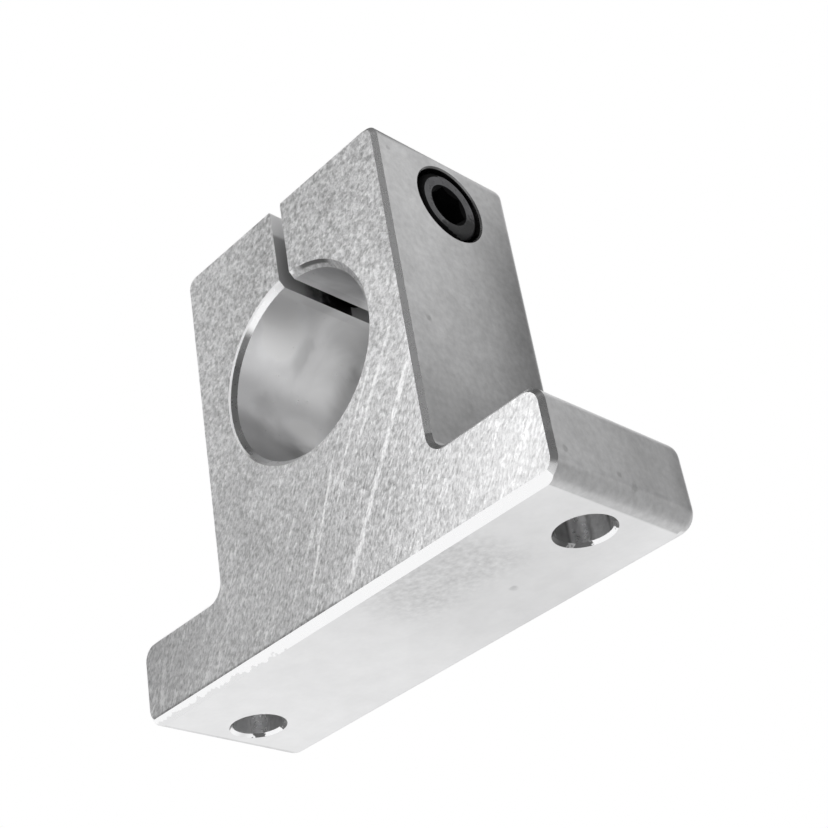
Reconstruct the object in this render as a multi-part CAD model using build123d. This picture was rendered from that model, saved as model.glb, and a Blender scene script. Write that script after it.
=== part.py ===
from build123d import *
import math
import os

# Shaft support block: a split clamp cut from an aluminium T bar, closed on
# the shaft by one socket head cap screw. All sizes are millimetres.
# X runs across the feet, Y along the shaft and Z up from the base, and the
# origin is the middle of the base.

# Shaft, bore and slit
shaft_dia = 25.0
shaft_height = 35.0  # base to shaft centre
bore_chamfer = 0.8  # both mouths of the bore
slit_width = 2.0
slit_mouth_radius = 1.2  # rounded lips where the slit opens upwards

# Bar section
block_length = 24.0  # along the shaft, end to end
side_wall = 6.5  # metal each side of the bore
foot_height = 11.5
crown_cover = 2.5  # metal above the screw's counterbore
sole_radius = 2.5  # lower outer corners of the feet
shoulder_radius = 2.5  # upper outer corners of the feet
root_radius = 2.0  # inner corners where the feet meet the upright
crown_radius = 2.0  # top corners of the upright
end_chamfer = 0.6  # around the outline of the front end
heel_chamfer = 1.0  # wider one along the base of the front end
back_radius = 1.9  # around the outline of the back end

# Mounting holes through the feet
bolt_hole_dia = 6.6
bolt_hole_chamfer = 0.4
bolt_offset = 9.0  # side of the upright to hole centre
foot_margin = 7.0  # hole centre to the end of the foot

# Clamp screw, a socket head cap screw
thread_dia = 6.0
thread_cover = 1.5  # metal between the bore and the screw's thread
head_dia = 10.0
head_height = 6.0
head_bevel = 0.45
neck_radius = 0.25  # fillet under the head
tip_bevel = 0.8
tip_setback = 1.8  # screw's tip to the left side of the upright
key_size = 5.0  # across the flats of the hexagon socket
key_depth = 3.0
key_point_angle = 120.0  # drilled point under the hexagon
key_lead = 0.15  # how far the bevelled mouth clears the hexagon's corners
key_turn = 10.0  # degrees that the tightened socket is turned from upright

# Fits between the screw and the block
head_recess = 0.2  # head below the side of the upright
head_gap = 0.5  # round the head in its counterbore
shank_gap = 0.3  # round the shank in the right-hand ear
thread_gap = 0.05  # round the thread in the left-hand ear
thread_lead = 0.5  # bevel at the outer end of the tapped hole
head_lead = 0.2  # bevel at the mouth of the counterbore

# Worked out from the sizes above
bore_radius = shaft_dia / 2
thread_radius = thread_dia / 2
head_radius = head_dia / 2
bolt_hole_radius = bolt_hole_dia / 2
counterbore_radius = head_radius + head_gap
upright_width = shaft_dia + 2 * side_wall
upright_side = upright_width / 2
bolt_spacing = upright_width + 2 * bolt_offset
base_width = bolt_spacing + 2 * foot_margin
screw_height = shaft_height + bore_radius + thread_cover + thread_radius
block_height = screw_height + counterbore_radius + crown_cover
head_seat = upright_side - head_recess - head_height
screw_length = head_seat + upright_side - tip_setback
overcut = 1.0  # how far cutters run past the faces they break through


def turned(*profile):
    """Solid of revolution about Z from a half profile of (radius, height) points."""
    points = [(radius, 0, height) for radius, height in profile]
    return revolve(make_face(Polyline(*points, close=True)), Axis.Z)


def on_screw_axis(x, shape):
    """Lay a shape made along Z on the screw's axis, its top towards +X."""
    return Pos(x, 0, screw_height) * Rot(0, 90, 0) * shape


def bar_section():
    """Outline of the T bar, seen along the shaft, with its rounded corners."""
    foot_end = base_width / 2
    corners = [
        (-foot_end, 0, sole_radius),
        (foot_end, 0, sole_radius),
        (foot_end, foot_height, shoulder_radius),
        (upright_side, foot_height, root_radius),
        (upright_side, block_height, crown_radius),
        (-upright_side, block_height, crown_radius),
        (-upright_side, foot_height, root_radius),
        (-foot_end, foot_height, shoulder_radius),
    ]
    points = [(x, height) for x, height, radius in corners]
    radii = [radius for x, height, radius in corners]
    return make_face(FilletPolyline(*points, radius=radii, close=True))


def heel_wedge():
    """Cutter for the wider bevel along the base of the front end."""
    half = block_length / 2
    reach = heel_chamfer + overcut
    corners = [(-half - overcut, reach), (-half + reach, -overcut), (-half - overcut, -overcut)]
    wedge = make_face(Polyline(*corners, close=True))
    return extrude(Plane.YZ * wedge, base_width / 2 + overcut, both=True)


def bar_blank():
    """Length of bar, bevelled round its front end and rounded round its back end."""
    bar = extrude(Plane.XZ * bar_section(), block_length / 2, both=True)
    bar = chamfer(bar.faces().sort_by(Axis.Y)[0].edges(), end_chamfer)
    bar = fillet(bar.faces().sort_by(Axis.Y)[-1].edges(), back_radius)
    return bar - heel_wedge()


def shaft_bore():
    """Cutter for the bore, flared at both mouths."""
    half = block_length / 2
    flare = bore_radius + bore_chamfer + overcut
    cutter = turned(
        (0, -half - overcut),
        (flare, -half - overcut),
        (bore_radius, -half + bore_chamfer),
        (bore_radius, half - bore_chamfer),
        (flare, half + overcut),
        (0, half + overcut),
    )
    return Pos(0, 0, shaft_height) * Rot(90, 0, 0) * cutter


def clamp_slit():
    """Cutter for the slit from the bore to the top, with rounded lips."""
    upwards = (Align.CENTER, Align.MIN)
    slot_height = block_height - shaft_height
    mouth_width = slit_width + 4 * slit_mouth_radius
    slot = Pos(0, shaft_height) * Rectangle(slit_width, slot_height, align=upwards)
    mouth = Pos(0, block_height) * Rectangle(mouth_width, overcut, align=upwards)
    outline = slot + mouth
    top_corners = outline.vertices().group_by(Axis.Y)[1].sort_by(Axis.X)
    outline = fillet(top_corners[1:3], slit_mouth_radius)
    return extrude(Plane.XZ * outline, block_length / 2 + overcut, both=True)


def bolt_hole():
    """Cutter for one mounting hole, bevelled at both faces of the foot."""
    flare = bolt_hole_radius + bolt_hole_chamfer + overcut
    return turned(
        (0, -overcut),
        (flare, -overcut),
        (bolt_hole_radius, bolt_hole_chamfer),
        (bolt_hole_radius, foot_height - bolt_hole_chamfer),
        (flare, foot_height + overcut),
        (0, foot_height + overcut),
    )


def screw_hole():
    """Stepped cutter: counterbore, clearance hole and tapped hole in line."""
    shank_hole = thread_radius + shank_gap
    tapped_hole = thread_radius + thread_gap
    outer_end = upright_side + overcut
    slit_side = slit_width / 2
    cutter = turned(
        (0, -outer_end),
        (tapped_hole + thread_lead + overcut, -outer_end),
        (tapped_hole, -upright_side + thread_lead),
        (tapped_hole, -slit_side),
        (shank_hole, -slit_side),
        (shank_hole, head_seat),
        (counterbore_radius, head_seat),
        (counterbore_radius, upright_side - head_lead),
        (counterbore_radius + head_lead + overcut, outer_end),
        (0, outer_end),
    )
    return on_screw_axis(0, cutter)


def support_block():
    """One-piece block with its bore, slit, mounting holes and screw hole."""
    block = bar_blank() - shaft_bore() - clamp_slit() - screw_hole()
    for side in (-1, 1):
        block -= Pos(side * bolt_spacing / 2, 0, 0) * bolt_hole()
    return block


def key_socket():
    """Cutter for the hexagon socket: bevelled mouth, flats and drilled point."""
    flat = key_size / 2
    corner = flat / math.cos(math.radians(30))
    slope = math.tan(math.radians(key_point_angle / 2))
    hexagon = RegularPolygon(flat, 6, major_radius=False, rotation=key_turn)
    well = extrude(Pos(0, 0, -key_depth) * hexagon, key_depth + overcut)
    drill_point = turned((0, -key_depth - flat / slope), (flat, -key_depth), (0, -key_depth))
    mouth = corner + key_lead
    lead = turned((0, -mouth / slope), (mouth + overcut * slope, overcut), (0, overcut))
    return well + drill_point + lead


def clamp_screw():
    """Socket head cap screw, its head seated in the counterbore of the right ear."""
    blank = turned(
        (0, -screw_length),
        (thread_radius - tip_bevel, -screw_length),
        (thread_radius, -screw_length + tip_bevel),
        (thread_radius, 0),
        (head_radius, 0),
        (head_radius, head_height - head_bevel),
        (head_radius - head_bevel, head_height),
        (0, head_height),
    )
    circles = blank.edges().filter_by(GeomType.CIRCLE)
    shank_rings = circles.filter_by(lambda ring: abs(ring.radius - thread_radius) < 1e-6)
    blank = fillet(shank_rings.sort_by(Axis.Z)[-1], neck_radius)
    screw = blank - Pos(0, 0, head_height) * key_socket()
    return on_screw_axis(head_seat, screw)


os.makedirs("parts", exist_ok=True)
export_step(support_block(), "parts/support_block.step")
export_step(clamp_screw(), "parts/clamp_screw.step")
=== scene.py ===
import bpy
import math
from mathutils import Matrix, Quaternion, Vector


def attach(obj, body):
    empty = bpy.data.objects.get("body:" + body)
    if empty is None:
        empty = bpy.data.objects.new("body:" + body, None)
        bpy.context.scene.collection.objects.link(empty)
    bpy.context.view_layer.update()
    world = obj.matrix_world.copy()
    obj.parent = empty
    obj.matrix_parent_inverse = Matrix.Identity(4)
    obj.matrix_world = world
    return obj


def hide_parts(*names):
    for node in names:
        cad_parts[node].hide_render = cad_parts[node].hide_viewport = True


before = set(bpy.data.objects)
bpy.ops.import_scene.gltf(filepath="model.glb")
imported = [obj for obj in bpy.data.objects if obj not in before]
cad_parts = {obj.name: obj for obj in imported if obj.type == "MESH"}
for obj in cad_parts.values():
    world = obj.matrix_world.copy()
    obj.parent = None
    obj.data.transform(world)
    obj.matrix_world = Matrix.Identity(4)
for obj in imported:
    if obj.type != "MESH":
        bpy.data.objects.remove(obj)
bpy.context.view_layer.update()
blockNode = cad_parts["support_block"]
mm = 0.001  # sizes below are written in millimetres
print("frame loaded")


def linkNew(name, data):
    item = bpy.data.objects.new(name, data)
    bpy.context.scene.collection.objects.link(item)
    return item


# small helpers for building shader trees
def newMaterial(name):
    mat = bpy.data.materials.new(name)
    mat.use_nodes = True
    mat.node_tree.nodes.clear()
    return mat, mat.node_tree


def addNode(tree, kind, inputs=None, **settings):
    node = tree.nodes.new(kind)
    for key, value in settings.items():
        setattr(node, key, value)
    for key, value in (inputs or {}).items():
        if isinstance(value, bpy.types.NodeSocket):
            tree.links.new(value, node.inputs[key])
        else:
            node.inputs[key].default_value = value
    return node


def calc(tree, operation, a, b=0.0, c=0.0):
    return addNode(tree, "ShaderNodeMath", {0: a, 1: b, 2: c}, operation=operation).outputs[0]


def product(tree, *values):
    result = values[0]
    for value in values[1:]:
        result = calc(tree, "MULTIPLY", result, value)
    return result


def opposite(tree, value):
    return calc(tree, "SUBTRACT", 1.0, value)


def either(tree, *masks):
    result = masks[0]
    for mask in masks[1:]:
        result = calc(tree, "MAXIMUM", result, mask)
    return result


def absolute(tree, value):
    return calc(tree, "ABSOLUTE", value)


def plus(tree, value, mask, amount):
    # adds an amount where the mask lies
    return calc(tree, "MULTIPLY_ADD", mask, amount, value)


def duller(tree, value, mask):
    return calc(tree, "MULTIPLY", value, opposite(tree, mask))


def varied(tree, value, field, amount):
    # spreads a value by a noise about the noise's middle
    return calc(tree, "MULTIPLY_ADD", calc(tree, "SUBTRACT", field, 0.5), amount, value)


def ramp(tree, value, low, high, lowOut=0.0, highOut=1.0):
    # smooth step of a value between two limits
    inputs = {"Value": value, "From Min": low, "From Max": high, "To Min": lowOut, "To Max": highOut}
    return addNode(tree, "ShaderNodeMapRange", inputs, interpolation_type="SMOOTHSTEP").outputs[0]


def fading(tree, value, low, high):
    return ramp(tree, value, low, high, 1.0, 0.0)


def below(tree, value, limit, soft=0.1):
    return fading(tree, value, limit - soft, limit + soft)


def window(tree, value, low, high, soft=0.05):
    return calc(tree, "MULTIPLY", ramp(tree, value, low - soft, low + soft), below(tree, value, high, soft))


def blend(tree, factor, a, b):
    return addNode(tree, "ShaderNodeMix", {"Factor": factor, "A": a, "B": b}, data_type="FLOAT").outputs[0]


def split(tree, vector):
    parts = addNode(tree, "ShaderNodeSeparateXYZ", {0: vector})
    return parts.outputs[0], parts.outputs[1], parts.outputs[2]


def join(tree, x, y, z):
    return addNode(tree, "ShaderNodeCombineXYZ", {0: x, 1: y, 2: z}).outputs[0]


def span(tree, a, b):
    # length of a flat vector
    return calc(tree, "SQRT", calc(tree, "MULTIPLY_ADD", a, a, calc(tree, "MULTIPLY", b, b)))


def noise(tree, where, scale, detail=2.0, rough=0.6, distortion=0.0):
    inputs = {"Vector": where, "Scale": scale, "Detail": detail, "Roughness": rough, "Distortion": distortion}
    return addNode(tree, "ShaderNodeTexNoise", inputs).outputs["Fac"]


def inMillimetres(tree, coords):
    inputs = {0: coords.outputs["Object"], "Scale": 1 / mm}
    return addNode(tree, "ShaderNodeVectorMath", inputs, operation="SCALE").outputs[0]


# camera at the photograph's angle, looking up at the base
cameraLook = {
    "place": (123.592, -133.664, -85.597),
    "azimuth": 43.247,
    "elevation": -29.980,
    "roll": -9.058,
    "lens": 74.529,
    "shift": (0.05, 0.10),
}


def addCamera(look):
    data = bpy.data.cameras.new("photoCamera")
    cam = linkNew("photoCamera", data)
    azimuth, elevation = math.radians(look["azimuth"]), math.radians(look["elevation"])
    level = math.cos(elevation)
    back = Vector((math.sin(azimuth) * level, -math.cos(azimuth) * level, math.sin(elevation)))
    aim = (-back).to_track_quat("-Z", "Y")
    cam.rotation_mode = "QUATERNION"
    cam.rotation_quaternion = aim @ Quaternion((0, 0, 1), math.radians(look["roll"]))
    cam.location = Vector(look["place"]) * mm
    data.lens = look["lens"]
    data.shift_x, data.shift_y = look["shift"]
    data.clip_start = 1 * mm
    bpy.context.scene.camera = cam
    print("camera placed")


# studio: white surround, pale floor, soft lamps and a few grey panels
studioLook = {
    "whiteLevel": 1.0,  # what the camera and shiny surfaces see
    "fillLevel": 0.55,  # what lights dull surfaces
    "floorTone": 0.86,
    "floorGap": 0.1,
    "floorFade": (260, 620),  # the floor melts into the white surround
    "floorSize": 1400,
}
# lamps: where they stand, what they face, side length, watts
studioLamps = {
    "overheadSoftbox": {"place": (-40, 60, 620), "aim": (0, 0, 20), "side": 420, "power": 1.3},
}
# panels: centre, aim, turn in degrees, width and height, soft edge,
# brightness at the left, right, foot and head
studioPanels = {
    "backRightPanel": {
        "place": (105, 110, 110), "aim": (19, 0, 35), "size": (190, 190), "soft": 19,
        "level": (0.65, 0.65, 0.38, 0.85),
    },
    "nearRightCard": {
        "place": (50, 79, 72), "aim": (18, 79, 72), "turn": -21, "size": (90, 100), "soft": 22,
        "level": (0.33,) * 4,
    },
    "frontRightPanel": {
        "place": (141, -165, 150), "aim": (0, -12, 150), "size": (220, 340), "soft": 14,
        "level": (0.2,) * 4,
    },
    "frontLeftPanel": {
        "place": (-150, -150, 130), "aim": (0, -12, 30), "size": (260, 260), "soft": 26,
        "level": (0.51, 0.60, 0.46, 0.63),
    },
    "nearFootCard": {
        "place": (-8, -87, 47), "aim": (30, -12, 5), "size": (60, 60), "soft": 18,
        "level": (2.4,) * 4,
    },
    "overheadCard": {
        "place": (0, 0, 260), "aim": (0, 0, 30), "size": (340, 340), "soft": 50,
        "level": (0.18,) * 4,
    },
    "lowRightPanel": {
        "place": (161, 108, -84), "aim": (35, 0, 2), "size": (240, 300), "soft": 34,
        "level": (0.62, 0.62, 0.64, 0.56),
    },
    "leftCard": {
        "place": (-95, -36, 42), "aim": (5, -12, 46), "size": (60, 80), "soft": 10,
        "level": (0.16,) * 4,
    },
    "frontFloorCard": {
        "place": (-117, -76, 1), "aim": (-117, -76, 100), "size": (170, 110), "soft": 6,
        "level": (0.3,) * 4,
    },
    "backFloorCard": {
        "place": (50, 108, 2), "aim": (50, 108, 100), "size": (280, 200), "soft": 25,
        "level": (0.70, 0.36, 0.60, 0.57),
    },
}


def facing(place, aim, turn=0):
    spin = Quaternion((0, 0, 1), math.radians(turn))
    return ((Vector(aim) - Vector(place)).to_track_quat("-Z", "Y") @ spin).to_euler()


def buildWorld(look):
    world = bpy.data.worlds.new("paleStudio")
    world.use_nodes = True
    tree = world.node_tree
    tree.nodes.clear()
    rays = addNode(tree, "ShaderNodeLightPath")
    seen = either(tree, *[rays.outputs[f"Is {kind} Ray"] for kind in ("Camera", "Glossy", "Transmission")])
    level = blend(tree, seen, look["fillLevel"], look["whiteLevel"])
    back = addNode(tree, "ShaderNodeBackground", {"Color": (1, 1, 1, 1), "Strength": level})
    addNode(tree, "ShaderNodeOutputWorld", {"Surface": back.outputs[0]})
    bpy.context.scene.world = world


def flatSheet(name, halfWidth, halfDepth, height=0.0):
    corners = [(-halfWidth, -halfDepth, height), (halfWidth, -halfDepth, height),
               (halfWidth, halfDepth, height), (-halfWidth, halfDepth, height)]
    mesh = bpy.data.meshes.new(name)
    mesh.from_pydata(corners, [], [(0, 1, 2, 3)])
    return linkNew(name, mesh)


def buildFloor(look):
    half = look["floorSize"] / 2 * mm
    floor = flatSheet("studioFloor", half, half, -look["floorGap"] * mm)
    mat, tree = newMaterial("paleFloor")
    tone = look["floorTone"]
    paint = addNode(tree, "ShaderNodeBsdfDiffuse", {"Color": (tone, tone, tone, 1), "Roughness": 0.6})
    clear = addNode(tree, "ShaderNodeBsdfTransparent")
    x, y, z = split(tree, inMillimetres(tree, addNode(tree, "ShaderNodeTexCoord")))
    # open from below, beyond its edge, and for shiny surfaces, which show the white surround
    behind = addNode(tree, "ShaderNodeNewGeometry").outputs["Backfacing"]
    edge = ramp(tree, span(tree, x, y), *look["floorFade"])
    shiny = addNode(tree, "ShaderNodeLightPath").outputs["Is Glossy Ray"]
    opening = either(tree, behind, edge, shiny)
    surface = addNode(tree, "ShaderNodeMixShader", {0: opening, 1: paint.outputs[0], 2: clear.outputs[0]})
    addNode(tree, "ShaderNodeOutputMaterial", {"Surface": surface.outputs[0]})
    floor.data.materials.append(mat)
    floor.visible_shadow = False


def addLamps(lamps):
    for name, spec in lamps.items():
        data = bpy.data.lights.new(name, "AREA")
        data.shape = "SQUARE"
        data.size = spec["side"] * mm
        data.energy = spec["power"]
        lamp = linkNew(name, data)
        lamp.location = Vector(spec["place"]) * mm
        lamp.rotation_euler = facing(spec["place"], spec["aim"])
        lamp.visible_camera = False
        lamp.visible_glossy = False


def addPanels(panels):
    for name, spec in panels.items():
        width, height = spec["size"]
        panel = flatSheet(name, width / 2 * mm, height / 2 * mm)
        panel.location = Vector(spec["place"]) * mm
        panel.rotation_euler = facing(spec["place"], spec["aim"], spec.get("turn", 0))
        mat, tree = newMaterial(name + "Paint")
        left, right, foot, head = spec["level"]
        x, y, z = split(tree, addNode(tree, "ShaderNodeTexCoord").outputs["Generated"])
        middle = (left + right) / 2
        level = calc(tree, "ADD", blend(tree, x, left, right), blend(tree, y, foot - middle, head - middle))
        glow = addNode(tree, "ShaderNodeEmission", {"Color": (1, 1, 1, 1), "Strength": level})
        clear = addNode(tree, "ShaderNodeBsdfTransparent")
        softWidth, softHeight = spec["soft"] / width, spec["soft"] / height
        rim = product(tree, ramp(tree, x, 0, softWidth), ramp(tree, opposite(tree, x), 0, softWidth),
                      ramp(tree, y, 0, softHeight), ramp(tree, opposite(tree, y), 0, softHeight))
        surface = addNode(tree, "ShaderNodeMixShader", {0: rim, 1: clear.outputs[0], 2: glow.outputs[0]})
        addNode(tree, "ShaderNodeOutputMaterial", {"Surface": surface.outputs[0]})
        mat.cycles.emission_sampling = "NONE"
        panel.data.materials.append(mat)
        panel.visible_camera = False
        panel.visible_shadow = False
        panel.visible_diffuse = False


# block: aluminium bar, sawn at its ends, with machined bores and broken edges
blockFinish = {
    "shape": {  # sizes of the CAD block that the finishes follow
        "frontEnd": -12,
        "backEnd": 12,
        "shaftHeight": 35,
        "boreRadius": 12.5,
        "wallSide": 19,
        "footSide": 35,
        "footTop": 11.5,
        "boltPlace": 28,
        "boltRadius": 3.3,
        "screwHeight": 52,
        "counterbore": 5.5,
    },
    "sawn": {
        "tone": 0.66,
        "roughness": 0.48,
        "grainContrast": 1.65,
        "strokeLean": 33,  # degrees that the saw strokes lean from upright
        "cloudiness": 0.22,
        "longMarks": 0.22,
        "rightFoot": 0.09,
        "leftGain": 1.12,  # painted light, brighter towards the left foot
        "besideBore": 0.045,
        "leftEar": 0.035,
        "underBore": -0.06,
        "lowDarkLine": 0.36,  # dark line along the base of the front
        "pitDepth": 0.10,
        # bright scratches on the front: start, end (x, z), width, strength
        "scratches": [
            ((18.5, 25.3), (3.1, 1.5), 0.70, 0.30),
            ((16.3, 30.5), (7.5, 17.5), 0.45, 0.20),
            ((12.6, 28.2), (4.0, 15.5), 0.32, 0.22),
            ((3.6, 18.4), (-3.1, 3.4), 0.40, 0.26),
            ((-15.2, 11.0), (-18.9, 4.4), 0.30, 0.13),
            ((-30.4, 8.2), (-32.0, 2.0), 0.70, 0.20),
            ((33.6, 9.2), (30.2, 2.2), 0.42, 0.10),
        ],
    },
    "side": {
        "tone": 0.64,
        "roughness": 0.33,
        "blotches": 0.24,
        "speckle": 0.3,
        "frontLight": 0.04,
        "backShade": 0.48,  # painted shade on the right side of the upright, towards the back
        "lowShade": 0.31,
        "footShade": 0.17,
        "footBackShade": 0.22,
        "soleTone": 0.52,  # rounded lower corner of the right foot
        "soleSpeckle": 0.26,
    },
    "base": {
        "tone": 0.76,
        "roughness": 0.36,
        "blotches": 0.12,
        "speckle": 0.06,
        "rubbed": -0.09,
        "handled": -0.075,
        "handledSpeckle": 0.36,
        "backLift": 0.03,
        "leftLift": 0.03,
    },
    "bore": {
        "tone": 0.85,
        "roughness": 0.30,
        "cloudiness": 0.3,
        "backShade": 0.30,
        "bottomShade": 0.30,
        "ringDepth": 0.006,
        # patches of painted highlight (positive strength) and painted shade (negative): turn from the left in
        # radians, place along the bore, reach, depth, strength
        "patches": [
            (1.25, 3.0, 0.45, 8.0, -0.17),
            (1.95, -8.0, 0.42, 9.0, -0.22),
            (0.97, -8.8, 0.25, 3.0, 0.10),
            (0.86, -5.6, 0.26, 2.6, 0.08),
            (0.84, -2.7, 0.30, 1.7, -0.12),
            (0.54, 6.5, 0.40, 4.5, -0.24),
            (0.16, -6.4, 0.22, 3.2, -0.11),
            (-0.31, -1.2, 0.25, 4.5, -0.18),
            (1.35, -11.0, 0.5, 6.0, 0.30),
            (0.95, -7.0, 0.45, 5.0, 0.25),
            (0.32, 3.7, 0.35, 5.0, 0.10),
            (0.08, 0.0, 0.22, 5.0, 0.20),
        ],
    },
    "slit": {
        "tone": 0.78,
        "roughness": 0.45,
        "mouthShade": 0.5,
        "lighterStrip": 0.26,  # lighter strip across the painted shadow
        "grime": 0.85,  # how far the metal is covered
    },
    "hole": {  # left and right bolt hole
        "leftTone": 0.50,
        "rightTone": 0.35,
        "roughness": 0.50,
        "leftLift": 0.16,
        "rightLightBand": 0.40,
        "leftShadeStreak": 0.3,
        "rightShadeStreak": 0.64,
        "rimTone": 0.12,
        "rimHighlightTone": 0.93,
        "grime": 0.15,
    },
    "edge": {
        "tone": 0.93,
        "roughness": 0.28,
        "footTones": (0.47, 0.64),
        "innerTone": 0.48,  # painted shade in the inner corner between wall and foot
        "chipTone": 0.78,
        "leftMouthTones": (0.42, 0.2),
        "arcTone": 0.22,  # painted shade on the upper rim of the bore
        "glintTone": 1.0,  # small painted highlight below the slit
        "glintRoughness": 0.9,
        "lipTone": 0.98,  # painted highlight along the outer line of the bore's left rim
        "lipRoughness": 0.85,
    },
    "pocket": {"tone": 0.10, "edgeTone": 0.20},  # counterbore and tapped hole, painted dark as shade in the recess, and a painted dark reflection on the counterbore's bevel
    "speckShade": 0.78,
    # dark specks on the sides and base: place, size
    "specks": [
        ((35, 0.8, 2.0), 0.8),
        ((35, -1.6, 2.9), 0.5),
        ((35, -10.0, 3.4), 0.6),
        ((19, -9.9, 56.4), 0.5),
        ((14.8, 2.5, 0), 0.75),
        ((19, -8.2, 31), 0.6),
    ],
}


class BlockSurface:
    # where a shaded point of the block lies, how it faces, and the noises that its finishes share
    def __init__(self, tree, shape):
        self.shape = shape
        coords = addNode(tree, "ShaderNodeTexCoord")
        self.where = inMillimetres(tree, coords)
        self.x, self.y, self.z = split(tree, self.where)
        self.nx, self.ny, self.nz = split(tree, coords.outputs["Normal"])
        aboveShaft = calc(tree, "SUBTRACT", self.z, shape["shaftHeight"])
        self.fromShaft = span(tree, self.x, aboveShaft)
        # turn round the bore: 0 points left, pi / 2 up
        self.boreTurn = calc(tree, "ARCTAN2", aboveShaft, calc(tree, "MULTIPLY", self.x, -1.0))
        # turn round each bolt hole: 0 points right, pi / 2 to the back
        self.leftRound = calc(tree, "ARCTAN2", self.y, calc(tree, "ADD", self.x, shape["boltPlace"]))
        self.rightRound = calc(tree, "ARCTAN2", self.y, calc(tree, "SUBTRACT", self.x, shape["boltPlace"]))
        self.grain = noise(tree, self.where, 1.7, 3.0, 0.65, 0.3)
        self.blotch = noise(tree, self.where, 0.24, 3.0, 0.55)
        self.fine = noise(tree, self.where, 1.2, 3.0)


def blockZones(tree, at):
    # masks for where each finish lies
    x, y, z, nx, nz, shape = at.x, at.y, at.z, at.nx, at.nz, at.shape
    boreRadius, boltRadius, counterbore = shape["boreRadius"], shape["boltRadius"], shape["counterbore"]
    wallSide, boreTop = shape["wallSide"], shape["shaftHeight"] + boreRadius
    facingEnd, facingSide, facingUp = absolute(tree, at.ny), absolute(tree, nx), absolute(tree, nz)
    fromMiddle = absolute(tree, x)
    fromHole = span(tree, calc(tree, "SUBTRACT", fromMiddle, shape["boltPlace"]), y)
    fromScrew = span(tree, y, calc(tree, "SUBTRACT", z, shape["screwHeight"]))
    front = fading(tree, y, shape["frontEnd"] + 1, shape["frontEnd"] + 2)
    sawn = ramp(tree, facingEnd, 0.86, 0.95)
    edge = product(tree, ramp(tree, facingEnd, 0.3, 0.5), opposite(tree, sawn))
    bore = product(tree, below(tree, at.fromShaft, boreRadius + 0.2, 0.05), below(tree, facingEnd, 0.3))
    zone = {"front": front, "sawn": sawn, "edge": edge, "bore": bore}

    # bolt holes and the screw's stepped hole
    zone["hole"] = product(tree, below(tree, fromHole, boltRadius + 0.08, 0.04), below(tree, facingUp, 0.4))
    zone["holeEdge"] = product(tree, below(tree, fromHole, boltRadius + 0.45, 0.03),
                               ramp(tree, facingUp, 0.4, 0.6), fading(tree, facingUp, 0.8, 0.95))
    zone["pocket"] = product(tree, below(tree, fromScrew, counterbore + 0.05, 0.03),
                             below(tree, fromMiddle, wallSide - 0.07, 0.03),
                             opposite(tree, bore), ramp(tree, fromMiddle, 1.1, 1.2))
    zone["pocketEdge"] = product(tree, below(tree, fromScrew, counterbore + 0.28, 0.02),
                                 ramp(tree, x, wallSide - 0.8, wallSide - 0.72),
                                 ramp(tree, nx, 0.3, 0.4), fading(tree, nx, 0.9, 0.96))

    # front mouth of the bore
    mouth = product(tree, edge, ramp(tree, at.fromShaft, boreRadius - 0.1, boreRadius),
                    below(tree, at.fromShaft, boreRadius + 0.84, 0.04), front)
    leftRim = product(tree, mouth, ramp(tree, at.boreTurn, -0.75, -0.5))
    awayFromLeft = either(tree, ramp(tree, at.boreTurn, -0.75, -0.95), ramp(tree, at.boreTurn, 1.62, 1.7))
    upper = product(tree, mouth, ramp(tree, z, 40, 41))
    zone["leftMouth"] = product(tree, leftRim, fading(tree, at.boreTurn, 0.8, 0.95))
    zone["lip"] = product(tree, leftRim, ramp(tree, at.fromShaft, boreRadius + 0.55, boreRadius + 0.62),
                          fading(tree, at.boreTurn, 1.5, 1.6))
    zone["faceLike"] = product(tree, mouth, awayFromLeft)
    zone["arc"] = product(tree, upper, ramp(tree, at.fromShaft, boreRadius + 0.3, boreRadius + 0.5),
                          ramp(tree, x, 2.2, 3.4), ramp(tree, x, 8.6, 7.0))
    zone["glint"] = product(tree, upper, below(tree, x, 1.6, 0.2), ramp(tree, x, 0.9, 1.0),
                            ramp(tree, at.fromShaft, boreRadius + 0.35, boreRadius + 0.5))

    # slit, base and lower corners
    zone["slit"] = product(tree, below(tree, fromMiddle, 2.3, 0.05), ramp(tree, z, boreTop - 0.3, boreTop),
                           opposite(tree, sawn), below(tree, facingEnd, 0.3), ramp(tree, facingSide, 0.1, 0.3))
    flatBase = product(tree, fading(tree, nz, -0.998, -0.99), below(tree, z, 0.05, 0.03))
    backHeel = product(tree, fading(tree, nz, -0.5, -0.3), below(tree, facingSide, 0.3, 0.1),
                       ramp(tree, y, shape["backEnd"] - 2.1, shape["backEnd"] - 1.9))
    zone["base"] = either(tree, flatBase, backHeel)
    zone["heel"] = product(tree, edge, fading(tree, nz, -0.6, -0.4), below(tree, z, 1.05, 0.03), front)
    zone["sole"] = product(tree, fading(tree, nz, -0.5, -0.1), ramp(tree, nx, 0.04, 0.1), below(tree, z, 3.0, 0.3))
    return zone


def scratchMask(tree, at, sway, start, end, width):
    # one straight mark with a little sway and fading ends
    run = Vector((end[0] - start[0], end[1] - start[1]))
    length = run.length
    along = run / length
    dx, dz = calc(tree, "SUBTRACT", at.x, start[0]), calc(tree, "SUBTRACT", at.z, start[1])
    travel = calc(tree, "MULTIPLY_ADD", dx, along.x, calc(tree, "MULTIPLY", dz, along.y))
    offset = calc(tree, "MULTIPLY_ADD", dx, -along.y, calc(tree, "MULTIPLY", dz, along.x))
    offset = absolute(tree, calc(tree, "ADD", offset, sway))
    middle = absolute(tree, calc(tree, "SUBTRACT", travel, length / 2))
    return product(tree, fading(tree, offset, width * 0.3, width * 0.75),
                   fading(tree, middle, length * 0.42, length * 0.52))


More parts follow.
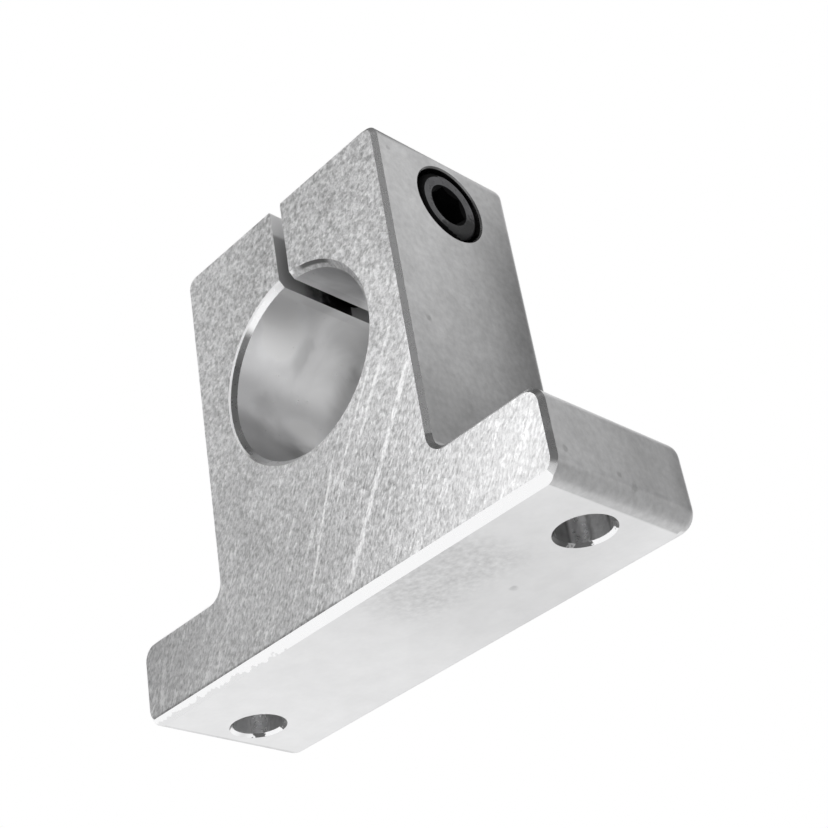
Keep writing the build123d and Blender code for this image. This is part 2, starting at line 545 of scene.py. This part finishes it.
def scratchMarks(tree, at, marks):
    # all the scratches, each broken here and there
    sway = varied(tree, 0.0, noise(tree, at.where, 0.35, rough=0.5), 0.45)
    breaks = ramp(tree, noise(tree, at.where, 1.1), 0.32, 0.52, 0.35, 1.0)
    total = 0.0
    for start, end, width, strength in marks:
        total = plus(tree, total, scratchMask(tree, at, sway, start, end, width), strength)
    return product(tree, total, breaks)


def sawnFinish(tree, at, front, look):
    # mottled grain, leaning strokes, long marks and scratches
    x, y, z = at.x, at.y, at.z
    lean = math.radians(look["strokeLean"])
    along = calc(tree, "MULTIPLY_ADD", x, math.sin(lean), calc(tree, "MULTIPLY", z, math.cos(lean)))
    across = calc(tree, "MULTIPLY_ADD", x, math.cos(lean), calc(tree, "MULTIPLY", z, -math.sin(lean)))

    def strokePlace(acrossScale, alongScale):
        return join(tree, calc(tree, "MULTIPLY", across, acrossScale), calc(tree, "MULTIPLY", along, alongScale),
                    calc(tree, "MULTIPLY", y, 2.0))

    strokes = noise(tree, strokePlace(3.2, 1.3), 1.0, distortion=0.2)
    texture = blend(tree, ramp(tree, z, 44, 10, 0.1, 0.6), at.grain, strokes)
    longMarks = ramp(tree, noise(tree, strokePlace(1.3, 0.16), 1.0), 0.53, 0.72)
    longMarks = product(tree, longMarks, ramp(tree, z, 38, 12, 0.1, 1.0), ramp(tree, at.grain, 0.35, 0.6, 0.3, 1.0))
    contrast = ramp(tree, x, -34, -4, look["grainContrast"] * 0.75, look["grainContrast"])
    contrast = product(tree, contrast, ramp(tree, x, 16, 26, 1.0, 0.7))
    tone = varied(tree, look["tone"], texture, contrast)
    tone = varied(tree, tone, noise(tree, at.where, 0.09, rough=0.5), look["cloudiness"])
    tone = plus(tree, tone, longMarks, look["longMarks"])
    # painted light and shade on the face: lighter towards both feet, beside the bore and on the left ear, darker
    # under the bore
    tone = plus(tree, tone, ramp(tree, x, 18, 30), look["rightFoot"])
    tone = product(tree, tone, ramp(tree, x, -6, -20, 1.0, look["leftGain"]))
    tone = plus(tree, tone, product(tree, ramp(tree, x, 9, 14), ramp(tree, z, 19, 25)), look["besideBore"])
    tone = plus(tree, tone, product(tree, ramp(tree, x, -6, -10), ramp(tree, z, 44, 50)), look["leftEar"])
    tone = plus(tree, tone, product(tree, window(tree, x, 0, 17, 5), window(tree, z, 5, 16, 4)), look["underBore"])
    lowDarkLine = product(tree, fading(tree, z, 1.0, 1.5), ramp(tree, x, 14, -6), look["lowDarkLine"])
    tone = calc(tree, "SUBTRACT", tone, lowDarkLine)
    tone = calc(tree, "ADD", tone, product(tree, scratchMarks(tree, at, look["scratches"]), front))
    return tone, texture


def sideFinish(tree, at, sole, look):
    # rolled sides, with painted shade on the right towards the back and the foot, and painted light near the front
    # of the upright
    x, y, z, wallSide, footSide = at.x, at.y, at.z, at.shape["wallSide"], at.shape["footSide"]
    tone = varied(tree, look["tone"], at.blotch, look["blotches"])
    tone = varied(tree, tone, at.fine, look["speckle"])
    wall = product(tree, ramp(tree, x, wallSide - 0.7, wallSide - 0.6), ramp(tree, at.nx, 0.9, 0.97))
    # painted light: a paler patch near the front of the upright's right side
    litPatch = product(tree, wall, window(tree, y, -9.5, -2.5, 1.5), window(tree, z, 38, 50, 3))
    tone = plus(tree, tone, litPatch, look["frontLight"])
    # painted shade: darker towards the back and the bottom of the upright's right side, and along the foot's side
    wallShade = product(tree, ramp(tree, y, -1, 12), ramp(tree, z, 60, 42, 0.28, 1.0), look["backShade"])
    wallShade = calc(tree, "ADD", wallShade, ramp(tree, z, 30, 15, 0.0, look["lowShade"]))
    wallShade = product(tree, wallShade, wall, fading(tree, x, wallSide, wallSide + 0.5))
    footShade = plus(tree, ramp(tree, y, -9, 3, 0.0, look["footShade"]), ramp(tree, y, 7.5, 11), look["footBackShade"])
    footShade = product(tree, ramp(tree, x, footSide - 0.5, footSide - 0.2), footShade)
    tone = duller(tree, tone, calc(tree, "ADD", wallShade, footShade))
    return blend(tree, sole, tone, varied(tree, look["soleTone"], at.fine, look["soleSpeckle"]))


def baseFinish(tree, at, look):
    # machined base, rubbed towards the right and handled near its front edge
    x, y = at.x, at.y
    tone = varied(tree, look["tone"], at.blotch, look["blotches"])
    fromRub = span(tree, calc(tree, "SUBTRACT", x, 14), y)
    rubbed = product(tree, ramp(tree, x, -12, 10), ramp(tree, fromRub, 22, 8, 0.3, 1.0))
    tone = plus(tree, tone, rubbed, look["rubbed"])
    handled = product(tree, ramp(tree, x, 0, 8), ramp(tree, x, 24, 18), ramp(tree, y, 2, -5))
    tone = plus(tree, tone, handled, look["handled"])
    tone = varied(tree, tone, at.fine, plus(tree, look["speckle"], handled, look["handledSpeckle"]))
    tone = plus(tree, tone, product(tree, ramp(tree, x, 16, 26), ramp(tree, y, 3, 8)), look["backLift"])
    return plus(tree, tone, ramp(tree, x, -14, -24), look["leftLift"])


def boreFinish(tree, at, look):
    # cloudy bore, with painted shade at the back and the bottom of its left wall, and patches of painted highlight
    # and painted shade
    cloud = noise(tree, at.where, 0.16, 3.0, 0.5, 0.4)
    tone = varied(tree, look["tone"], cloud, look["cloudiness"])
    leftWall = ramp(tree, at.x, 4, -2)
    tone = duller(tree, tone, product(tree, leftWall, ramp(tree, at.y, 0, 8), look["backShade"]))
    bottomEdge = plus(tree, varied(tree, at.boreTurn, cloud, 0.5), at.y, 0.02)
    tone = duller(tree, tone, product(tree, leftWall, ramp(tree, bottomEdge, 0.0, -0.36), look["bottomShade"]))
    for turnAt, place, reach, depth, strength in look["patches"]:
        turnOff = calc(tree, "DIVIDE", calc(tree, "SUBTRACT", at.boreTurn, turnAt), reach)
        placeOff = calc(tree, "DIVIDE", calc(tree, "SUBTRACT", at.y, place), depth)
        off = varied(tree, span(tree, turnOff, placeOff), cloud, 1.5)
        tone = plus(tree, tone, fading(tree, off, 0.2, 1.0), strength)
    return tone


def slitFinish(tree, at, look):
    # slit walls, with painted shade low down and a painted shadow round the screw's shank
    y, z = at.y, at.z
    tone = calc(tree, "MULTIPLY", look["tone"], ramp(tree, z, 55.3, 56.1, look["mouthShade"], 1.0))
    patchy = plus(tree, noise(tree, at.where, 0.9), y, 0.06)
    # painted shadow of the screw's shank on the slit wall
    screwShadow = product(tree, ramp(tree, y, -9.0, -5.4), below(tree, y, 0.4, 0.12), ramp(tree, z, 56, 54),
                   ramp(tree, patchy, -0.1, 0.35, 0.55, 1.0))
    screwShadow = duller(tree, screwShadow, product(tree, window(tree, y, -6.1, -4.9, 0.3), look["lighterStrip"]))
    return duller(tree, tone, screwShadow)


def holeFinish(tree, at, look):
    # walls of the bolt holes, painted dark as shade inside them, with painted lighter bands and a painted darker
    # streak down each
    boltPlace = at.shape["boltPlace"]
    tone = ramp(tree, at.x, -1, 1, look["leftTone"], look["rightTone"])
    tone = varied(tree, tone, at.fine, ramp(tree, at.x, boltPlace - 4, boltPlace + 3, 0.2, 0.7))
    # painted light on bands of the walls, painted shade in the streaks
    tone = plus(tree, tone, window(tree, at.rightRound, 1.25, 1.98, 0.1), look["rightLightBand"])
    tone = plus(tree, tone, ramp(tree, at.x, -boltPlace - 2.5, -boltPlace - 3.1), look["leftLift"])
    rightShadeStreak = plus(tree, window(tree, at.rightRound, 2.06, 2.8, 0.1),
                       window(tree, at.rightRound, 2.1, 2.42, 0.1), 0.25)
    leftShadeStreak = product(tree, window(tree, at.leftRound, 2.0, 2.65, 0.2), look["leftShadeStreak"])
    return duller(tree, tone, plus(tree, leftShadeStreak, rightShadeStreak, look["rightShadeStreak"]))


def holeRimFinish(tree, at, look):
    # bevels of the bolt holes: painted highlights in patches, painted dark reflection elsewhere
    ragged = varied(tree, 0.0, noise(tree, at.where, 1.3), 0.9)
    leftRound, rightRound = calc(tree, "ADD", at.leftRound, ragged), calc(tree, "ADD", at.rightRound, ragged)
    leftBright = either(tree, window(tree, leftRound, 1.38, 2.2), window(tree, leftRound, 2.62, 9),
                        below(tree, leftRound, -2.4))
    rightHighlightSpot = product(tree, window(tree, rightRound, 2.66, 2.86), 0.4)
    rightBright = either(tree, window(tree, rightRound, 0.95, 2.1), rightHighlightSpot)
    bright = blend(tree, ramp(tree, at.x, -1, 1), leftBright, rightBright)
    return blend(tree, bright, look["rimTone"], look["rimHighlightTone"])


def edgeFinish(tree, at, zone, look):
    # bevels round the ends: bright, with painted shade at the right foot and its inner corner
    x, z, turn = at.x, at.z, at.boreTurn
    wallSide, footSide, footTop = at.shape["wallSide"], at.shape["footSide"], at.shape["footTop"]
    # painted shade on the bevels of the right foot
    footRim = product(tree, ramp(tree, x, footSide - 3, footSide - 1.5), ramp(tree, at.nx, 0.3, 0.5))
    tone = blend(tree, footRim, look["tone"], ramp(tree, at.blotch, 0.35, 0.65, *look["footTones"]))
    inner = product(tree, window(tree, x, wallSide - 0.8, wallSide + 2),
                    window(tree, z, footTop - 0.3, footTop + 2.5))
    tone = blend(tree, inner, tone, look["innerTone"])
    chipLine = varied(tree, ramp(tree, x, 0, -22, -0.4, 0.5), noise(tree, at.where, 0.9), 1.5)
    chips = product(tree, zone["heel"], ramp(tree, calc(tree, "SUBTRACT", chipLine, z), -0.06, 0.06))
    tone = blend(tree, chips, tone, look["chipTone"])
    # mouth of the bore: painted shade inside its left rim, elsewhere grained like the face
    grained = varied(tree, ramp(tree, turn, -0.7, 1.6, 0.97, 0.74), at.grain, 1.2)
    tone = blend(tree, zone["faceLike"], tone, grained)
    tone = blend(tree, zone["leftMouth"], tone, ramp(tree, turn, 0.1, 0.8, *look["leftMouthTones"]))
    tone = blend(tree, zone["arc"], tone, look["arcTone"])
    return blend(tree, zone["glint"], tone, look["glintTone"])


def addSpecks(tree, at, tone, look):
    for spot, size in look["specks"]:
        off = addNode(tree, "ShaderNodeVectorMath", {0: at.where, 1: spot}, operation="DISTANCE").outputs["Value"]
        off = varied(tree, off, at.fine, size)
        tone = product(tree, tone, ramp(tree, off, size * 0.3, size, look["speckShade"], 1.0))
    return tone


def blockMaterial(look):
    mat, tree = newMaterial("milledAluminium")
    at = BlockSurface(tree, look["shape"])
    zone = blockZones(tree, at)
    sawnTone, texture = sawnFinish(tree, at, zone["front"], look["sawn"])

    tone = sideFinish(tree, at, zone["sole"], look["side"])
    tone = blend(tree, zone["base"], tone, baseFinish(tree, at, look["base"]))
    tone = addSpecks(tree, at, tone, look)
    tone = blend(tree, zone["bore"], tone, boreFinish(tree, at, look["bore"]))
    tone = blend(tree, zone["sawn"], tone, sawnTone)
    tone = blend(tree, zone["slit"], tone, slitFinish(tree, at, look["slit"]))
    tone = blend(tree, zone["hole"], tone, holeFinish(tree, at, look["hole"]))
    tone = blend(tree, zone["edge"], tone, edgeFinish(tree, at, zone, look["edge"]))
    tone = blend(tree, zone["holeEdge"], tone, holeRimFinish(tree, at, look["hole"]))
    # painted shade in the counterbore and tapped hole, painted dark reflection on the counterbore's bevel
    tone = blend(tree, zone["pocket"], tone, look["pocket"]["tone"])
    tone = blend(tree, zone["pocketEdge"], tone, look["pocket"]["edgeTone"])
    tone = blend(tree, zone["lip"], tone, look["edge"]["lipTone"])

    roughness = blend(tree, zone["base"], look["side"]["roughness"], look["base"]["roughness"])
    for name in ("bore", "sawn", "slit", "hole", "edge"):
        roughness = blend(tree, zone[name], roughness, look[name]["roughness"])
    roughness = blend(tree, zone["lip"], roughness, look["edge"]["lipRoughness"])
    roughness = blend(tree, zone["faceLike"], roughness, look["sawn"]["roughness"])
    roughness = blend(tree, zone["glint"], roughness, look["edge"]["glintRoughness"])
    roughness = varied(tree, roughness, at.fine, 0.12)
    metallic = duller(tree, opposite(tree, product(tree, zone["slit"], look["slit"]["grime"])),
                      product(tree, zone["hole"], look["hole"]["grime"]))

    # relief: pitted grain on the sawn ends, fine turning rings in the bore
    rings = noise(tree, join(tree, 0.0, at.y, 0.0), 5.0)
    height = product(tree, zone["sawn"], product(tree, texture, look["sawn"]["pitDepth"]))
    height = plus(tree, height, product(tree, zone["bore"], rings), look["bore"]["ringDepth"])
    height = plus(tree, height, product(tree, at.fine, opposite(tree, zone["edge"])), 0.003)
    relief = addNode(tree, "ShaderNodeBump", {"Height": height, "Distance": 1 * mm, "Strength": 1.0})

    colour = addNode(tree, "ShaderNodeCombineColor", {0: tone, 1: tone, 2: calc(tree, "MULTIPLY", tone, 1.006)})
    inputs = {"Base Color": colour.outputs[0], "Roughness": roughness, "Metallic": metallic,
              "Normal": relief.outputs[0]}
    shader = addNode(tree, "ShaderNodeBsdfPrincipled", inputs)
    addNode(tree, "ShaderNodeOutputMaterial", {"Surface": shader.outputs[0]})
    return mat


# clamp screw: socket head cap screw with rolled thread, black oxide finish
clampScrew = {
    "axisHeight": 52.0,
    "seat": 12.8,
    "headTop": 18.8,
    "headRadius": 5.0,
    "headBevel": 0.45,
    "headFootEdge": 0.2,  # softened edge of the head's underside
    "faceRadius": 4.22,  # flat worn part of the head's face
    "wornWidening": 0.7,  # how much wider it is worn towards the back
    "wornSpan": (-1.5, 1.5),
    "knurlDepth": 0.12,
    "knurlCount": 60,
    "knurlSpan": (13.15, 18.05),
    "knurlSlope": 0.18,
    "neckRadius": 0.25,
    "shankRadius": 2.98,
    "shankEnd": 6.8,
    "tip": -17.2,
    "tipRadius": 2.2,
    "tipHollow": 0.15,
    "threadRadius": 3.0,
    "threadRoot": 2.387,
    "threadRunOut": 1.2,  # over which the thread fades into the shank
    "pitch": 1.0,
    "crestFlat": 0.125,
    "rootFlat": 0.167,
    "socketFlat": 2.5,  # half of the width across the flats
    "socketDepth": 3.0,
    "socketTurn": 10.0,
    "drillSlope": math.sqrt(3),  # of the socket's drilled point and bevelled mouth
    "mouthRadius": 3.037,
    "samples": 240,
    # tone, gloss and roughness of the oxide, untouched and worn
    "oxides": {
        "deepBlackOxide": (0.003, 0.04, 0.6),
        "facedBlackOxide": (0.112, 0.16, 0.36),
    },
}


def screwPoint(x, radius, angle):
    # angle 0 points up and grows towards the front of the block
    return (x * mm, -radius * math.sin(angle) * mm, (clampScrew["axisHeight"] + radius * math.cos(angle)) * mm)


class MeshSheet:
    # collects faces by their corner points, so that rows that meet share their corners
    def __init__(self):
        self.points, self.faces, self.known = [], [], {}

    def corner(self, point):
        key = tuple(round(value * 1e7) for value in point)
        if key not in self.known:
            self.known[key] = len(self.points)
            self.points.append(point)
        return self.known[key]

    def face(self, *corners):
        indices = []
        for point in corners:
            index = self.corner(point)
            if index not in indices:
                indices.append(index)
        if len(indices) > 2:
            self.faces.append(indices)

    def ringBand(self, first, second):
        count = len(first)
        for i in range(count):
            j = (i + 1) % count
            self.face(first[i], first[j], second[j], second[i])

    def ringBands(self, rings):
        for first, second in zip(rings, rings[1:]):
            self.ringBand(first, second)

    def cap(self, ring, centre, flip=False):
        count = len(ring)
        for i in range(count):
            j = (i + 1) % count
            if flip:
                self.face(ring[j], ring[i], centre)
            else:
                self.face(ring[i], ring[j], centre)

    def build(self, name):
        mesh = bpy.data.meshes.new(name)
        mesh.from_pydata(self.points, [], self.faces)
        mesh.polygons.foreach_set("use_smooth", [True] * len(mesh.polygons))
        mesh.set_sharp_from_angle(angle=math.radians(32))
        mesh.validate()
        return linkNew(name, mesh)


def ringAngles(spec):
    turn = math.radians(spec["socketTurn"])
    return [turn + 2 * math.pi * i / spec["samples"] for i in range(spec["samples"])]


def roundRings(spec, outline):
    # one ring for each pair of place along the axis and radius
    angles = ringAngles(spec)
    return [[screwPoint(x, radius, angle) for angle in angles] for x, radius in outline]


def threadRows(spec):
    # rows of one pitch: how far along, and radius of the thread there
    crest, root = spec["crestFlat"], spec["rootFlat"]
    flank = (1 - crest - root) / 2
    high, low = spec["threadRadius"], spec["threadRoot"]
    middle = (high + low) / 2
    return [(0.0, high), (crest, high), (crest + flank / 2, middle), (crest + flank, low),
            (crest + flank + root / 2, low), (crest + flank + root, low), (1 - flank / 2, middle)]


def threadSheet(sheet, spec, low, high, rows, envelope, inward=False):
    # helix of rows between two flat rings, cut off at both ends
    turns = int(math.ceil((high - low) / spec["pitch"]))
    count = len(rows)
    angles = ringAngles(spec)
    grid = []
    for row in range(-count, (turns + 1) * count):
        offset, radius = rows[row % count]
        start = low + (row // count + offset) * spec["pitch"]
        line = []
        for i, angle in enumerate(angles):
            x = start + spec["pitch"] * i / len(angles)
            x = min(max(x, low), high)
            line.append(screwPoint(x, envelope(x, radius), angle))
        grid.append(line)
    last = len(grid) - 1
    for k in range(last):
        for i in range(len(angles)):
            if i + 1 < len(angles):
                a, b, c, d = grid[k][i], grid[k][i + 1], grid[k + 1][i + 1], grid[k + 1][i]
            else:
                a, b = grid[k][i], grid[min(k + count, last)][0]
                c, d = grid[min(k + 1 + count, last)][0], grid[k + 1][i]
            if inward:
                sheet.face(d, c, b, a)
            else:
                sheet.face(a, b, c, d)


def addScrewThread(sheet, spec):
    # threaded part, from the tip's bevel to the plain shank
    tip, tipRadius, shankEnd, runOut = spec["tip"], spec["tipRadius"], spec["shankEnd"], spec["threadRunOut"]

    def envelope(x, radius):
        radius = min(radius, tipRadius + (x - tip))
        share = min(max((x - (shankEnd - runOut)) / runOut, 0), 1)
        return radius + (spec["shankRadius"] - radius) * share ** 2

    threadSheet(sheet, spec, tip, shankEnd, threadRows(spec), envelope)
    sheet.cap(roundRings(spec, [(tip, tipRadius)])[0], screwPoint(tip + spec["tipHollow"], 0, 0), flip=True)


def shankRings(spec):
    # plain shank, neck fillet and underside of the head
    seat, neck, shank = spec["seat"], spec["neckRadius"], spec["shankRadius"]
    outline = [(spec["shankEnd"], shank), (seat - neck - 0.05, shank)]
    for step in range(5):
        swing = math.radians(90 * step / 4)
        radius = spec["threadRadius"] + neck - neck * math.cos(swing)
        outline.append((seat - neck + neck * math.sin(swing), radius))
    head, edge = spec["headRadius"], spec["headFootEdge"]
    outline += [(seat, head - edge), (seat + 0.3 * edge, head - 0.3 * edge), (seat + edge, head)]
    return roundRings(spec, outline)


def knurlRings(spec):
    # straight knurl round the head
    low, high = spec["knurlSpan"]
    slope, depth = spec["knurlSlope"], spec["knurlDepth"]
    perGroove = spec["samples"] // spec["knurlCount"]
    rings = []
    for x, cut in [(low, 0.0), (low + slope, depth), (high - slope, depth), (high, 0.0)]:
        ring = []
        for i, angle in enumerate(ringAngles(spec)):
            groove = 0.5 - 0.5 * math.cos(2 * math.pi * (i % perGroove) / perGroove)
            ring.append(screwPoint(x, spec["headRadius"] - cut * groove, angle))
        rings.append(ring)
    return rings


def headTopRings(spec):
    # softened bevel, flat face and the start of the socket's mouth
    top, head, bevel, mouth = spec["headTop"], spec["headRadius"], spec["headBevel"], spec["mouthRadius"]
    return roundRings(spec, [
        (top - bevel - 0.06, head),
        (top - bevel + 0.03, head - 0.04),
        (top - bevel / 2, head - bevel / 2 - 0.01),
        (top - 0.07, head - bevel + 0.03),
        (top - 0.02, head - bevel - 0.13),
        (top, spec["faceRadius"]),
        (top, mouth + 0.05),
        (top - 0.012, mouth),
    ])


def socketRings(spec):
    # bevelled mouth and hexagon, whose corners fall on samples, and the round foot of its point
    top, flat = spec["headTop"], spec["socketFlat"]
    lip, foot = [], []
    for i, angle in enumerate(ringAngles(spec)):
        swing = (360 * i / spec["samples"]) % 60 - 30
        radius = flat / math.cos(math.radians(swing))
        lip.append(screwPoint(top - (spec["mouthRadius"] - radius) / spec["drillSlope"], radius, angle))
        foot.append(screwPoint(top - spec["socketDepth"], radius, angle))
    return [lip, foot] + roundRings(spec, [(top - spec["socketDepth"], flat)])


def oxideMaterial(spec, name, tone, gloss, roughness):
    mat, tree = newMaterial(name)
    coords = addNode(tree, "ShaderNodeTexCoord")
    where = inMillimetres(tree, coords)
    x, y, z = split(tree, where)
    cloud = noise(tree, where, 0.6, 3.0)
    speck = ramp(tree, noise(tree, where, 2.2), 0.60, 0.68, 1.0, 0.4)
    # painted shade on the lower side of the head
    low = calc(tree, "SUBTRACT", calc(tree, "SUBTRACT", z, spec["axisHeight"]), calc(tree, "MULTIPLY", y, 0.5))
    low = varied(tree, low, noise(tree, where, 1.6), 4.0)
    headShade = ramp(tree, low, -1.6, -3.0, 1.0, 0.15)
    shade = product(tree, varied(tree, tone, cloud, tone * 1.2), speck, headShade)
    relief = addNode(tree, "ShaderNodeBump", {"Height": noise(tree, where, 3.0, 3.0), "Distance": 0.02 * mm})
    colour = addNode(tree, "ShaderNodeCombineColor", {0: shade, 1: shade, 2: calc(tree, "MULTIPLY", shade, 1.04)})
    inputs = {"Base Color": colour.outputs[0], "Roughness": varied(tree, roughness, cloud, 0.3),
              "Specular IOR Level": gloss, "Normal": relief.outputs[0]}
    shader = addNode(tree, "ShaderNodeBsdfPrincipled", inputs)
    addNode(tree, "ShaderNodeOutputMaterial", {"Surface": shader.outputs[0]})
    return mat


def paintHead(screw, spec):
    # untouched oxide all over but on the worn face of the head
    for name, finish in spec["oxides"].items():
        screw.data.materials.append(oxideMaterial(spec, name, *finish))
    first, last = spec["wornSpan"]
    for polygon in screw.data.polygons:
        along, side, height = polygon.center / mm
        out = math.hypot(side, height - spec["axisHeight"])
        rim = spec["faceRadius"] + spec["wornWidening"] * min(max((side - first) / (last - first), 0), 1)
        onTop = along > spec["headTop"] - spec["headBevel"] and polygon.normal.x > 0.3
        polygon.material_index = 1 if onTop and spec["mouthRadius"] < out < rim else 0


def buildClampScrew(spec):
    sheet = MeshSheet()
    addScrewThread(sheet, spec)
    rings = shankRings(spec) + knurlRings(spec) + headTopRings(spec) + socketRings(spec)
    sheet.ringBands(rings)
    point = spec["headTop"] - spec["socketDepth"] - spec["socketFlat"] / spec["drillSlope"]
    sheet.cap(rings[-1], screwPoint(point, 0, 0))
    screw = sheet.build("socketHeadScrew")
    paintHead(screw, spec)
    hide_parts("clamp_screw")
    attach(screw, "screw")
    print("clamp screw built,", len(sheet.faces), "faces")


# tapped hole: the open turns of thread outside the screw's tip
tappedThread = {
    "span": (-18.5, -17.35),
    "outerRadius": 3.045,
    "crestRadius": 2.46,
    "rootRadius": 2.98,
    "rimStep": 0.01,  # narrow flat ring at both ends
    "bevelSlope": 1.2,  # of the outer end
    "innerSlope": 3,
}


def buildTappedThread(spec, screwSpec, mat):
    sheet = MeshSheet()
    low, high = spec["span"]
    outer, crest, root = spec["outerRadius"], spec["crestRadius"], spec["rootRadius"]
    rim, middle = outer - spec["rimStep"], (crest + root) / 2
    # rows of one pitch: how far along, and radius of the thread there
    rows = [(0.0, root), (0.125, root), (0.28, middle), (0.44, crest),
            (0.56, crest), (0.69, crest), (0.845, middle)]

    def envelope(x, radius):
        return max(radius, rim - (x - low) * spec["bevelSlope"], rim - (high - x) * spec["innerSlope"])

    threadSheet(sheet, screwSpec, low, high, rows, envelope, inward=True)
    loop = roundRings(screwSpec, [(high, rim), (high, outer), (low, outer), (low, rim)])
    for first, second in zip(loop, loop[1:]):
        sheet.ringBand(second, first)
    piece = sheet.build("tappedThread")
    piece.data.materials.append(mat)
    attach(piece, "block")
    print("tapped thread built")


blockMat = blockMaterial(blockFinish)
blockNode.data.materials.clear()
blockNode.data.materials.append(blockMat)
print("block finished")
buildClampScrew(clampScrew)
buildTappedThread(tappedThread, clampScrew, blockMat)
buildWorld(studioLook)
buildFloor(studioLook)
addLamps(studioLamps)
addPanels(studioPanels)
print("studio lit")
addCamera(cameraLook)
bpy.context.scene.view_settings.view_transform = "Standard"
